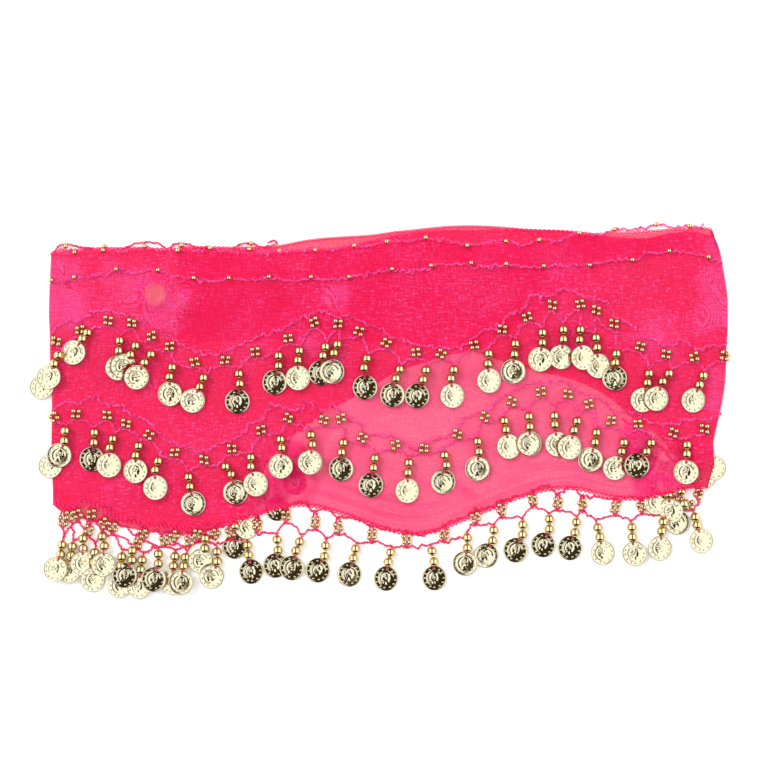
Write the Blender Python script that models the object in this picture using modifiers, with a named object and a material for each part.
"""A belly dance hip scarf, laid flat with both ends folded behind.

One strip of chiffon is the whole garment. Its middle is the front. The strip turns under at the
left and the right side, and the two tails lie behind the front, on the table. Three nets of crochet
thread carry drops, each of two large beads and a coin: two rows on the front and one on its hem. A
fourth hangs on the hem of the left tail, where it comes out below the front.

Run with blender --background --python part.py, or from Blender's text editor. +X runs to the right
along the strip, +Y to its top edge, +Z up from the table. Sizes are in millimetres until a mesh is
made.
"""
import math
from bisect import bisect_right
from collections import namedtuple

import bmesh
import bpy
from mathutils import Matrix, Vector

MM = 0.001

# Cloth, in mm. The chiffon is built thicker than it is, so that it is a sound solid.
WALL = 1.0                  # the front's wall
LAYER = 1.0                 # one tail, behind the front
GAP = 0.3                   # between pieces that lie on each other
REST = 0.05                 # the front's underside above the table, where no tail is below it
FOLD_ROUND = 2.0            # radius of the two folded sides
TAIL_INSET = 1.7            # from a folded side to the tails inside it
BRIDGE = 16.0               # how far the cloth spans past an edge that it lies over
PERCH = 17.0                # and how far what lies on the front does
EDGE_SHARE = 0.6            # the tails' thickness at their rim, of a layer
RIM = 1.5                   # width of that rim
FRONT_GRID = 38, 14         # columns and rows of faces in the front
TAILS_GRID = 36, 10         # and in the tails

# Fringe, in mm
BEAD = 6.0                  # a large bead
COIN = 16.4                 # a coin
COIN_THICK = 0.8
COIN_SIDES = 9
NET_THICK = 1.0
THREAD = 1.3                # width of the crochet chain
SEWN = 6.0                  # width of the net where a group of small beads is sewn
SEWN_TALL = 6.0
MIN_HOLE = 4.0              # a narrower gap in a net isn't cut
HEM_CLEAR = 1.2             # from a hem to the net below it
BEAD_PITCH = 6.5            # from the upper bead of a drop to the lower one
COIN_PITCH = 11.2           # from the lower bead to the coin's centre
ROOT_PITCH = 5.2            # from the net to the upper bead
COIN_STACK = COIN_THICK + GAP   # a coin that lies on its neighbour
COIN_BITE = 1.5             # how far a strand runs into its coin
ROOT_WIDE, NECK_WIDE, END_WIDE = 0.13, 0.3, 0.1     # a strand's width along it, of a bead's
ROOT_INSET = 0.45           # a drop's root keeps this share of a scallop from either end
FLAT_ANGLE = math.radians(0.5)  # faces that meet at less are joined

# Label on the tails, seen faintly through the front
LABEL_X, LABEL_Y = -54.0, 95.5
LABEL_WIDE, LABEL_TALL, LABEL_THICK = 18.0, 8.0, 0.5

# Middle of the whole scarf, fringe and all, in the lines' own x and y. It is moved to the origin.
MIDDLE = "middle"
MIDDLE_X, MIDDLE_Y = -0.2, -2.4

# Lines across the cloth: x along the strip, y up it. A row for each crest, dip or bend.
Bend = namedtuple("Bend", "x y")
# A folded side: y up the cloth, x of the fold there.
Side = namedtuple("Side", "y x")
# One scallop of a net: where it is sewn down, the upper bead of the drop that follows, how far the
# drop swings from straight down, in degrees, and how far its coin is raised on what it lies on.
Scallop = namedtuple("Scallop", "sewn bead swing lift")

FRONT_TOP = [Bend(-215, 102), Bend(-151, 105), Bend(-85, 103), Bend(-25, 106), Bend(27, 112),
             Bend(80, 110), Bend(150, 117), Bend(200, 119), Bend(220, 118)]
FRONT_HEM = [Bend(-215, -62), Bend(-192, -62), Bend(-172, -72), Bend(-134, -79), Bend(-95, -74),
             Bend(-54, -63), Bend(-20, -70), Bend(20, -82), Bend(60, -72), Bend(100, -56),
             Bend(128, -53), Bend(166, -59), Bend(199, -52), Bend(214, -51)]
LEFT_FOLD = [Side(-62, -215), Side(-20, -216), Side(46, -217), Side(102, -215)]
RIGHT_FOLD = [Side(-52, 214), Side(-40, 217.5), Side(-20, 221.5), Side(0, 226), Side(50, 230),
              Side(97, 227), Side(118, 220)]
TAILS_TOP = [Bend(-215, 105), Bend(-185, 109), Bend(-120, 110), Bend(-65, 109), Bend(0, 115),
             Bend(54, 121), Bend(120, 118), Bend(180, 119), Bend(220, 120)]
LEFT_TAIL_HEM = [Bend(-215, -63), Bend(-190, -74), Bend(-138, -83), Bend(-108, -80), Bend(-92, -70),
                 Bend(-72, -30), Bend(-37, -2), Bend(0, 18), Bend(47, 37), Bend(74, 46),
                 Bend(107, 65), Bend(146, 92), Bend(206, 105)]
RIGHT_TAIL_HEM = [Bend(-141, 52), Bend(-85, 50), Bend(-19, 49), Bend(27, 44), Bend(64, 36),
                  Bend(120, 19), Bend(161, -6), Bend(196, -35), Bend(214, -53)]
LEFT_TAIL_END = 208.0       # x of the end of the tail that comes from the left fold
RIGHT_TAIL_END = -135.0     # and of the one from the right fold

# Upper row: height of the sewn groups, height of the upper beads, and the scallops
UPPER_SEWN = [Bend(-213, 45), Bend(-197, 52), Bend(-175, 59), Bend(-157, 53), Bend(-121, 31),
              Bend(-101, 33), Bend(-60, 47), Bend(-38, 57), Bend(-20, 54), Bend(24, 37),
              Bend(45, 36), Bend(75, 50), Bend(115, 68), Bend(135, 69), Bend(155, 56),
              Bend(180, 38), Bend(205, 34), Bend(226, 35)]
UPPER_BEADS = [Bend(-216, 33), Bend(-192, 49), Bend(-171, 45), Bend(-137, 27), Bend(-115, 20),
               Bend(-92, 23), Bend(-60, 37), Bend(-27, 43), Bend(14, 26), Bend(50, 26),
               Bend(90, 43), Bend(128, 53), Bend(157, 36), Bend(180, 23), Bend(214, 22)]
UPPER_ROW = [Scallop(-220, -219, -12, 0), Scallop(-211, -210, -24, 1), Scallop(-196, -190, -37, 0),
             Scallop(-179, -171.5, -6, 0), Scallop(-163, -161, -29, 1), Scallop(-150, -149, -33, 2),
             Scallop(-138, -136, -6, 0), Scallop(-121, -115.5, -26, 1), Scallop(-101, -92, -3, 0),
             Scallop(-82, -66, -9, 0), Scallop(-60, -52, -3, 1), Scallop(-43, -36, -8, 0),
             Scallop(-28, -27, -11, 1), Scallop(-13, -8, -4, 0), Scallop(5, 14, -14, 0),
             Scallop(24, 31, -16, 1), Scallop(41, 50, -3, 0), Scallop(63, 73, 1, 0),
             Scallop(81, 90, -4, 0), Scallop(98, 108, -4, 0), Scallop(115, 122, -4, 1),
             Scallop(133, 133, 5, 0), Scallop(143, 144, 6, 1), Scallop(155, 157, -3, 0),
             Scallop(172, 178, -13, 0), Scallop(190, 192, -24, 1), Scallop(207, 214, -20, 0),
             Scallop(226, 226, 0, 0)]

# Lower row, in the same way
LOWER_SEWN = [Bend(-214, -5), Bend(-197, -2), Bend(-170, -8), Bend(-135, -29), Bend(-115, -34),
              Bend(-97, -26), Bend(-60, -6), Bend(-25, -6), Bend(5, -23), Bend(30, -26),
              Bend(70, -5), Bend(107, 12), Bend(125, 10), Bend(155, -8), Bend(194, -16),
              Bend(226, -14)]
LOWER_BEADS = [Bend(-215, -20), Bend(-206, -15), Bend(-187, -16), Bend(-158, -24),
               Bend(-125, -45), Bend(-84, -32), Bend(-45, -17), Bend(-23, -22), Bend(10, -36),
               Bend(44, -31), Bend(83, -8), Bend(107, -4), Bend(131, -8), Bend(161, -22),
               Bend(203, -24), Bend(224, -22)]
LOWER_ROW = [Scallop(-220, -215, -7, 0), Scallop(-211, -206, -14, 1), Scallop(-200, -187.5, -6, 0),
             Scallop(-179, -175, -7, 1), Scallop(-167, -158, -8, 0), Scallop(-151, -145, -5, 1),
             Scallop(-135, -125, 10, 0), Scallop(-115, -101, 22, 1), Scallop(-97, -84, 12, 0),
             Scallop(-78, -65, 1, 0), Scallop(-59, -45, -1, 0), Scallop(-36, -23, -5, 0),
             Scallop(-11, -2, -8, 0), Scallop(11, 20, -3, 0), Scallop(30, 44, -3, 0),
             Scallop(52, 65, -1, 0), Scallop(70, 83, 10, 0), Scallop(90, 99, 1, 1),
             Scallop(107, 116, 6, 0), Scallop(125, 131, -14, 1), Scallop(139, 144, -12, 0),
             Scallop(153, 161, -16, 1), Scallop(171, 180, -32, 0), Scallop(194, 203, -2, 0),
             Scallop(215, 222, 0, 0), Scallop(224, 224, 0, 0)]

# Hem of the front: the net starts at the hem, so only the beads' heights are given
HEM_BEADS = [Bend(-209, -90), Bend(-182, -84), Bend(-145, -96), Bend(-127, -98), Bend(-86, -90),
             Bend(-52, -88), Bend(8, -95), Bend(35, -94), Bend(76, -80), Bend(113, -73),
             Bend(150, -78), Bend(209, -71)]
HEM_FRINGE = [Scallop(-215, -209, -14, 0), Scallop(-202, -195, 1, 4), Scallop(-188, -182, 4, 5),
              Scallop(-173, -163, -17, 4), Scallop(-155, -145.5, -10, 4), Scallop(-136, -127, -11, 0),
              Scallop(-115, -106, -13, 0), Scallop(-97, -86, 7, 1), Scallop(-79, -67, -6, 0),
              Scallop(-61, -52, -17, 1), Scallop(-42, -35, -18, 0), Scallop(-27, -15, -13, 0),
              Scallop(-5, 8, -10, 0), Scallop(18, 35, 5, 0), Scallop(43, 59, -6, 0),
              Scallop(64, 76, -16, 1), Scallop(81, 95, -15, 0), Scallop(102, 113, -13, 0),
              Scallop(118, 131, -13, 0), Scallop(135, 145, 12, 0), Scallop(156, 167, 6, 0),
              Scallop(174, 188, -7, 0), Scallop(198, 208, 15, 0), Scallop(213, 213, 0, 0)]

# Hem of the left tail, where it shows below the front
TAIL_BEADS = [Bend(-202, -91), Bend(-187, -95), Bend(-170, -94), Bend(-156, -100), Bend(-135, -97),
              Bend(-115, -91), Bend(-96, -89)]
TAIL_FRINGE = [Scallop(-208, -202, -9, 0), Scallop(-195, -187, -4, 1), Scallop(-179, -170.5, -3, 0),
               Scallop(-164, -155.5, -8, 1), Scallop(-145, -135, -7, 0), Scallop(-125, -115, -11, 0),
               Scallop(-106, -96, -5, 0), Scallop(-92, -92, 0, 0)]
OVER_TAIL_FRINGE = Bend(-74, 2.3)   # left of x the front's hem fringe lies y above the tail's

PINK = (0.93, 0.02, 0.16, 1.0)
GOLD = (0.83, 0.62, 0.28, 1.0)
LABEL_PINK = (0.93, 0.30, 0.45, 1.0)


def along(line, place):
    """Value of a line at a place, bent smoothly through its rows."""
    starts = [row[0] for row in line]
    k = min(max(bisect_right(starts, place) - 1, 0), len(line) - 2)
    (start, low), (end, high) = line[k], line[k + 1]

    def slope(i):
        before, after = line[max(i - 1, 0)], line[min(i + 1, len(line) - 1)]
        return (after[1] - before[1]) / (after[0] - before[0])

    span = end - start
    t = min(max((place - start) / span, 0.0), 1.0)
    return (low * (1 + 2 * t) * (1 - t) ** 2 + high * t * t * (3 - 2 * t)
            + span * t * (1 - t) * (slope(k) * (1 - t) - slope(k + 1) * t))


def mix(a, b, t):
    return a + (b - a) * t


def ring(x, y, reach):
    """A place and eight more round it."""
    yield x, y
    for k in range(8):
        turn = math.tau * k / 8
        yield x + reach * math.cos(turn), y + reach * math.sin(turn)


def tails_below(x, y):
    """How many tails lie behind the front at a place."""
    left = y > along(LEFT_TAIL_HEM, x) and x < LEFT_TAIL_END
    right = y > along(RIGHT_TAIL_HEM, x) and x > RIGHT_TAIL_END
    return left + right


def front_under(x, y):
    """Height of the front's underside, which spans past the edges of what is below it."""
    below = LAYER * max(tails_below(*place) for place in ring(x, y, BRIDGE))
    across, up = abs(x - LABEL_X) - LABEL_WIDE / 2, abs(y - LABEL_Y) - LABEL_TALL / 2
    if max(across, up) < BRIDGE:
        below += GAP + LABEL_THICK
    return below + GAP if below else REST


def on_front(x, y):
    """Height where a piece lies on the front."""
    return max(front_under(*place) for place in ring(x, y, PERCH)) + WALL + GAP


def off_hem(x, y):
    """Height where the front's hem fringe lies: on the table, or on the tail's fringe."""
    step = min(max((OVER_TAIL_FRINGE.x - x) / BEAD, 0.0), 1.0)
    return GAP + OVER_TAIL_FRINGE.y * step


def off_tail(x, y):
    """Height where the tail's fringe lies: on the table."""
    return GAP


def metres(x, y, z):
    return Vector((x * MM, y * MM, z * MM))


def new_object(name, mesh, collection, material):
    thing = bpy.data.objects.new(name, mesh)
    thing.parent = bpy.data.objects[MIDDLE]
    collection.objects.link(thing)
    if material:
        mesh.materials.append(material)
    return thing


def finish(name, color, roughness, metallic):
    material = bpy.data.materials.new(name)
    material.use_nodes = True
    shader = material.node_tree.nodes["Principled BSDF"]
    shader.inputs["Base Color"].default_value = color
    shader.inputs["Roughness"].default_value = roughness
    shader.inputs["Metallic"].default_value = metallic
    return material


def sheet_mesh(name, rows):
    """An open sheet through rows of points, with its faces up."""
    bm = bmesh.new()
    grid = [[bm.verts.new(point) for point in row] for row in rows]
    for low, high in zip(grid, grid[1:]):
        for a, b, c, d in zip(low, low[1:], high[1:], high):
            bm.faces.new((a, b, c, d))
    mesh = bpy.data.meshes.new(name)
    bm.to_mesh(mesh)
    bm.free()
    return mesh


def front_row(v, columns):
    """One row of points across the front, from fold to fold, turned down at both."""
    middle = []
    for k in range(columns + 1):
        straight = mix(LEFT_FOLD[0].x, RIGHT_FOLD[0].x, k / columns)
        y = mix(along(FRONT_HEM, straight), along(FRONT_TOP, straight), v)
        left, right = along(LEFT_FOLD, y) + FOLD_ROUND, along(RIGHT_FOLD, y) - FOLD_ROUND
        x = mix(left, right, k / columns)
        middle.append((x, y, front_under(x, y) + WALL))

    def turned(end, outward):
        x, y, top = end
        bend = FOLD_ROUND * math.sin(math.pi / 4)
        return [(x + outward * bend, y, top - FOLD_ROUND + bend),
                (x + outward * FOLD_ROUND, y, top - FOLD_ROUND),
                (x + outward * FOLD_ROUND, y, REST)]

    points = turned(middle[0], -1)[::-1] + middle + turned(middle[-1], 1)
    return [metres(*point) for point in points]


def make_front(collection, material):
    columns, rows = FRONT_GRID
    points = [front_row(k / rows, columns) for k in range(rows + 1)]
    front = new_object("chiffon_front", sheet_mesh("chiffon_front", points), collection, material)
    wall = front.modifiers.new("Wall", "SOLIDIFY")
    wall.thickness = WALL * MM
    wall.offset = -1.0
    wall.use_even_offset = True
    front.modifiers.new("Triangles", "TRIANGULATE")
    return front


def make_tails(collection, material):
    """Both tails as one solid, flat below, as thick as its layers and thinner at its rim."""
    columns, rows = TAILS_GRID
    grid = []
    for j in range(-1, rows + 2):
        line = []
        for k in range(-1, columns + 2):
            across = min(max(k / columns, 0.0), 1.0)
            straight = mix(LEFT_FOLD[0].x, RIGHT_FOLD[0].x, across)
            low = min(along(LEFT_TAIL_HEM, straight), along(RIGHT_TAIL_HEM, straight)) + RIM
            high = along(TAILS_TOP, straight) - RIM
            y = mix(low, high, min(max(j / rows, 0.0), 1.0))
            left = along(LEFT_FOLD, y) + TAIL_INSET + RIM
            right = along(RIGHT_FOLD, y) - TAIL_INSET - RIM
            x = mix(left, right, across)
            layers = max(1, tails_below(x, y))
            on_rim = j in (-1, rows + 1) or k in (-1, columns + 1)
            x += RIM * ((k > columns) - (k < 0))
            y += RIM * ((j > rows) - (j < 0))
            line.append(metres(x, y, LAYER * (layers - 1 + EDGE_SHARE if on_rim else layers)))
        grid.append(line)
    mesh = sheet_mesh("chiffon_tails", grid)
    bm = bmesh.new()
    bm.from_mesh(mesh)
    made = bmesh.ops.extrude_face_region(bm, geom=bm.faces[:], use_keep_orig=True)
    for part in made["geom"]:
        if isinstance(part, bmesh.types.BMVert):
            part.co.z = 0.0
    bmesh.ops.recalc_face_normals(bm, faces=bm.faces[:])
    below = [face for face in bm.faces if face.calc_center_median().z < REST * MM / 2]
    bmesh.ops.dissolve_faces(bm, faces=below)
    bm.to_mesh(mesh)
    bm.free()
    return new_object("chiffon_tails", mesh, collection, material)


def make_label(collection, material):
    bm = bmesh.new()
    size = Matrix.Diagonal(metres(LABEL_WIDE, LABEL_TALL, LABEL_THICK)).to_4x4()
    middle = LAYER * tails_below(LABEL_X, LABEL_Y) + GAP + LABEL_THICK / 2
    place = Matrix.Translation(metres(LABEL_X, LABEL_Y, middle))
    bmesh.ops.create_cube(bm, size=1.0, matrix=place @ size)
    mesh = bpy.data.meshes.new("sewn_label")
    bm.to_mesh(mesh)
    bm.free()
    return new_object("sewn_label", mesh, collection, material)


def row_line(line):
    """Where a row's sewn groups run on the front."""
    return lambda x: along(line, x)


def hem_line(*hems):
    """Where the sewn groups of a net run that hangs just below one or more hems."""
    down = HEM_CLEAR + THREAD + SEWN_TALL / 2
    return lambda x: min(along(hem, x) for hem in hems) - down


def drop_places(scallop, bead_line):
    """Root, both beads and the coin of one drop, as (x, y), from its swing."""
    swing = math.radians(scallop.swing)
    across, down = math.sin(swing), -math.cos(swing)
    x, y = scallop.bead, along(bead_line, scallop.bead)
    steps = (-ROOT_PITCH, 0.0, BEAD_PITCH, BEAD_PITCH + COIN_PITCH)
    return [(x + across * step, y + down * step) for step in steps]


def flat_curve(name, outlines, thick):
    """A flat plate with holes: the first outline is its edge, the others are its holes."""
    curve = bpy.data.curves.new(name, "CURVE")
    curve.dimensions = "2D"
    curve.fill_mode = "BOTH"
    curve.extrude = thick / 2 * MM
    for outline in outlines:
        spline = curve.splines.new("POLY")
        spline.points.add(len(outline) - 1)
        for point, (x, y) in zip(spline.points, outline):
            point.co = (x * MM, y * MM, 0.0, 1.0)
        spline.use_cyclic_u = True
    return curve


def beaded_curve(name, drops):
    """Strands that swell into their two beads. Each drop is a list of (point, width) pairs."""
    curve = bpy.data.curves.new(name, "CURVE")
    curve.dimensions = "3D"
    curve.bevel_depth = BEAD / 2 * MM
    curve.bevel_resolution = 1
    curve.use_fill_caps = True
    for drop in drops:
        spline = curve.splines.new("POLY")
        spline.points.add(len(drop) - 1)
        for point, (place, width) in zip(spline.points, drop):
            point.co = (*metres(*place), 1.0)
            point.radius = width
    return curve


def as_mesh(curve):
    """The curve's mesh, with its caps welded on."""
    holder = bpy.data.objects.new(curve.name, curve)
    bpy.context.scene.collection.objects.link(holder)
    evaluated = holder.evaluated_get(bpy.context.evaluated_depsgraph_get())
    mesh = bpy.data.meshes.new_from_object(evaluated)
    bpy.data.objects.remove(holder)
    bm = bmesh.new()
    bm.from_mesh(mesh)
    bmesh.ops.remove_doubles(bm, verts=bm.verts[:], dist=0.01 * MM)
    bm.to_mesh(mesh)
    bm.free()
    mesh.materials.clear()
    return mesh


def on_line(points, x):
    """Height of a straight-sided line through points, at x."""
    k = min(max(bisect_right([point[0] for point in points], x) - 1, 0), len(points) - 2)
    (left, low), (right, high) = points[k], points[k + 1]
    return mix(low, high, (x - left) / (right - left))


def net_roots(scallops, sewn_line, bead_line):
    """Where each drop leaves the net: above its upper bead, and below the two sewn groups."""
    roots = []
    for row, beyond in zip(scallops, scallops[1:]):
        inset = min(SEWN / 2 + THREAD, (beyond.sewn - row.sewn) * ROOT_INSET)
        x, y = drop_places(row, bead_line)[0]
        sewn_low = (sewn_line(row.sewn) + sewn_line(beyond.sewn) - SEWN_TALL) / 2
        roots.append((min(max(x, row.sewn + inset), beyond.sewn - inset), min(y, sewn_low)))
    return roots


def net_outlines(scallops, sewn_line, roots):
    """The net's edge and its holes. It is tall where it is sewn and runs down to each drop."""
    sewn = [(row.sewn, sewn_line(row.sewn)) for row in scallops]
    top = [(x, y + SEWN_TALL / 2 + THREAD) for x, y in sewn]
    bottom = [(x, y - SEWN_TALL / 2) for x, y in sewn]
    lower = sorted(bottom + [(x, y - THREAD) for x, y in roots])
    holes = []
    for (x, _), (beyond, _), (root, _) in zip(sewn, sewn[1:], roots):
        left, right = x + SEWN / 2, beyond - SEWN / 2
        if right - left > MIN_HOLE:
            holes.append([(left, on_line(top, left) - THREAD), (left, on_line(lower, left) + THREAD),
                          (root, on_line(lower, root) + 2 * THREAD),
                          (right, on_line(lower, right) + THREAD),
                          (right, on_line(top, right) - THREAD)])
    ends = [(sewn[0][0] - SEWN / 2, top[0][1])], [(sewn[-1][0] + SEWN / 2, top[-1][1])]
    low_ends = [(ends[0][0][0], bottom[0][1])], [(ends[1][0][0], bottom[-1][1])]
    return [ends[0] + top + ends[1] + low_ends[1] + lower[::-1] + low_ends[0]] + holes


def make_fringe(name, scallops, sewn_line, bead_line, floor, collection, cutters, material):
    """A net and its drops, fused into one solid that follows what it lies on."""
    roots = net_roots(scallops, sewn_line, bead_line)
    net = as_mesh(flat_curve(name, net_outlines(scallops, sewn_line, roots), NET_THICK))
    for vertex in net.vertices:
        x, y = vertex.co.x / MM, vertex.co.y / MM
        vertex.co.z += (floor(x, y) + NET_THICK / 2) * MM
    fringe = new_object(name, net, collection, material)

    pieces = bpy.data.collections.new(name + "_drops")
    cutters.children.link(pieces)
    drops, coins = [], bmesh.new()
    for row, root in zip(scallops, roots):
        upper, lower, coin = drop_places(row, bead_line)[1:]
        level = max(floor(*place) for place in (upper, lower))
        neck = [(a + b) / 2 for a, b in zip(upper, lower)]
        coin_middle = floor(*coin) + row.lift * COIN_STACK + COIN_THICK / 2
        rim = [mix(c, b, (COIN / 2 - COIN_BITE) / COIN_PITCH) for c, b in zip(coin, lower)]
        bead_middle = level + BEAD / 2
        drops.append([((*root, floor(*root) + NET_THICK / 2), ROOT_WIDE),
                      ((*upper, bead_middle), 1.0), ((*neck, bead_middle), NECK_WIDE),
                      ((*lower, bead_middle), 1.0), ((*rim, coin_middle), END_WIDE)])
        turn = Matrix.Rotation(math.radians(row.swing), 4, "Z")
        bmesh.ops.create_cone(coins, cap_ends=True, segments=COIN_SIDES, radius1=COIN / 2 * MM,
                              radius2=COIN / 2 * MM, depth=COIN_THICK * MM,
                              matrix=Matrix.Translation(metres(*coin, coin_middle)) @ turn)
    coin_mesh = bpy.data.meshes.new(name + "_coins")
    coins.to_mesh(coin_mesh)
    coins.free()
    for label, mesh in (("strands", as_mesh(beaded_curve(name + "_strands", drops))),
                        ("coins", coin_mesh)):
        cutter = new_object(name + "_" + label, mesh, pieces, None)
        cutter.hide_render = True
        cutter.display_type = "WIRE"
    fuse = fringe.modifiers.new("Fused", "BOOLEAN")
    fuse.operation = "UNION"
    fuse.operand_type = "COLLECTION"
    fuse.collection = pieces
    fuse.solver = "EXACT"
    fuse.use_self = True
    flat = fringe.modifiers.new("Flat faces joined", "DECIMATE")
    flat.decimate_type = "DISSOLVE"
    flat.angle_limit = FLAT_ANGLE
    fringe.modifiers.new("Triangles", "TRIANGULATE")
    return fringe


def main():
    for thing in list(bpy.data.objects):
        bpy.data.objects.remove(thing)
    scarf = bpy.data.collections.new("belly_dance_hip_scarf")
    cutters = bpy.data.collections.new("cutters")
    for collection in (scarf, cutters):
        bpy.context.scene.collection.children.link(collection)

    middle = bpy.data.objects.new(MIDDLE, None)
    middle.location = -metres(MIDDLE_X, MIDDLE_Y, 0.0)
    scarf.objects.link(middle)

    chiffon = finish("pink_chiffon", PINK, 0.65, 0.0)
    gold = finish("gold_beads_and_coins", GOLD, 0.22, 1.0)
    plain = finish("plain_label", LABEL_PINK, 0.7, 0.0)

    make_tails(scarf, chiffon)
    make_label(scarf, plain)
    make_front(scarf, chiffon)
    for name, scallops, sewn_line, bead_line, floor in (
            ("upper_coin_row", UPPER_ROW, row_line(UPPER_SEWN), UPPER_BEADS, on_front),
            ("lower_coin_row", LOWER_ROW, row_line(LOWER_SEWN), LOWER_BEADS, on_front),
            ("hem_coin_fringe", HEM_FRINGE, hem_line(FRONT_HEM, RIGHT_TAIL_HEM), HEM_BEADS, off_hem),
            ("tail_coin_fringe", TAIL_FRINGE, hem_line(FRONT_HEM, LEFT_TAIL_HEM), TAIL_BEADS, off_tail)):
        make_fringe(name, scallops, sewn_line, bead_line, floor, scarf, cutters, gold)


main()
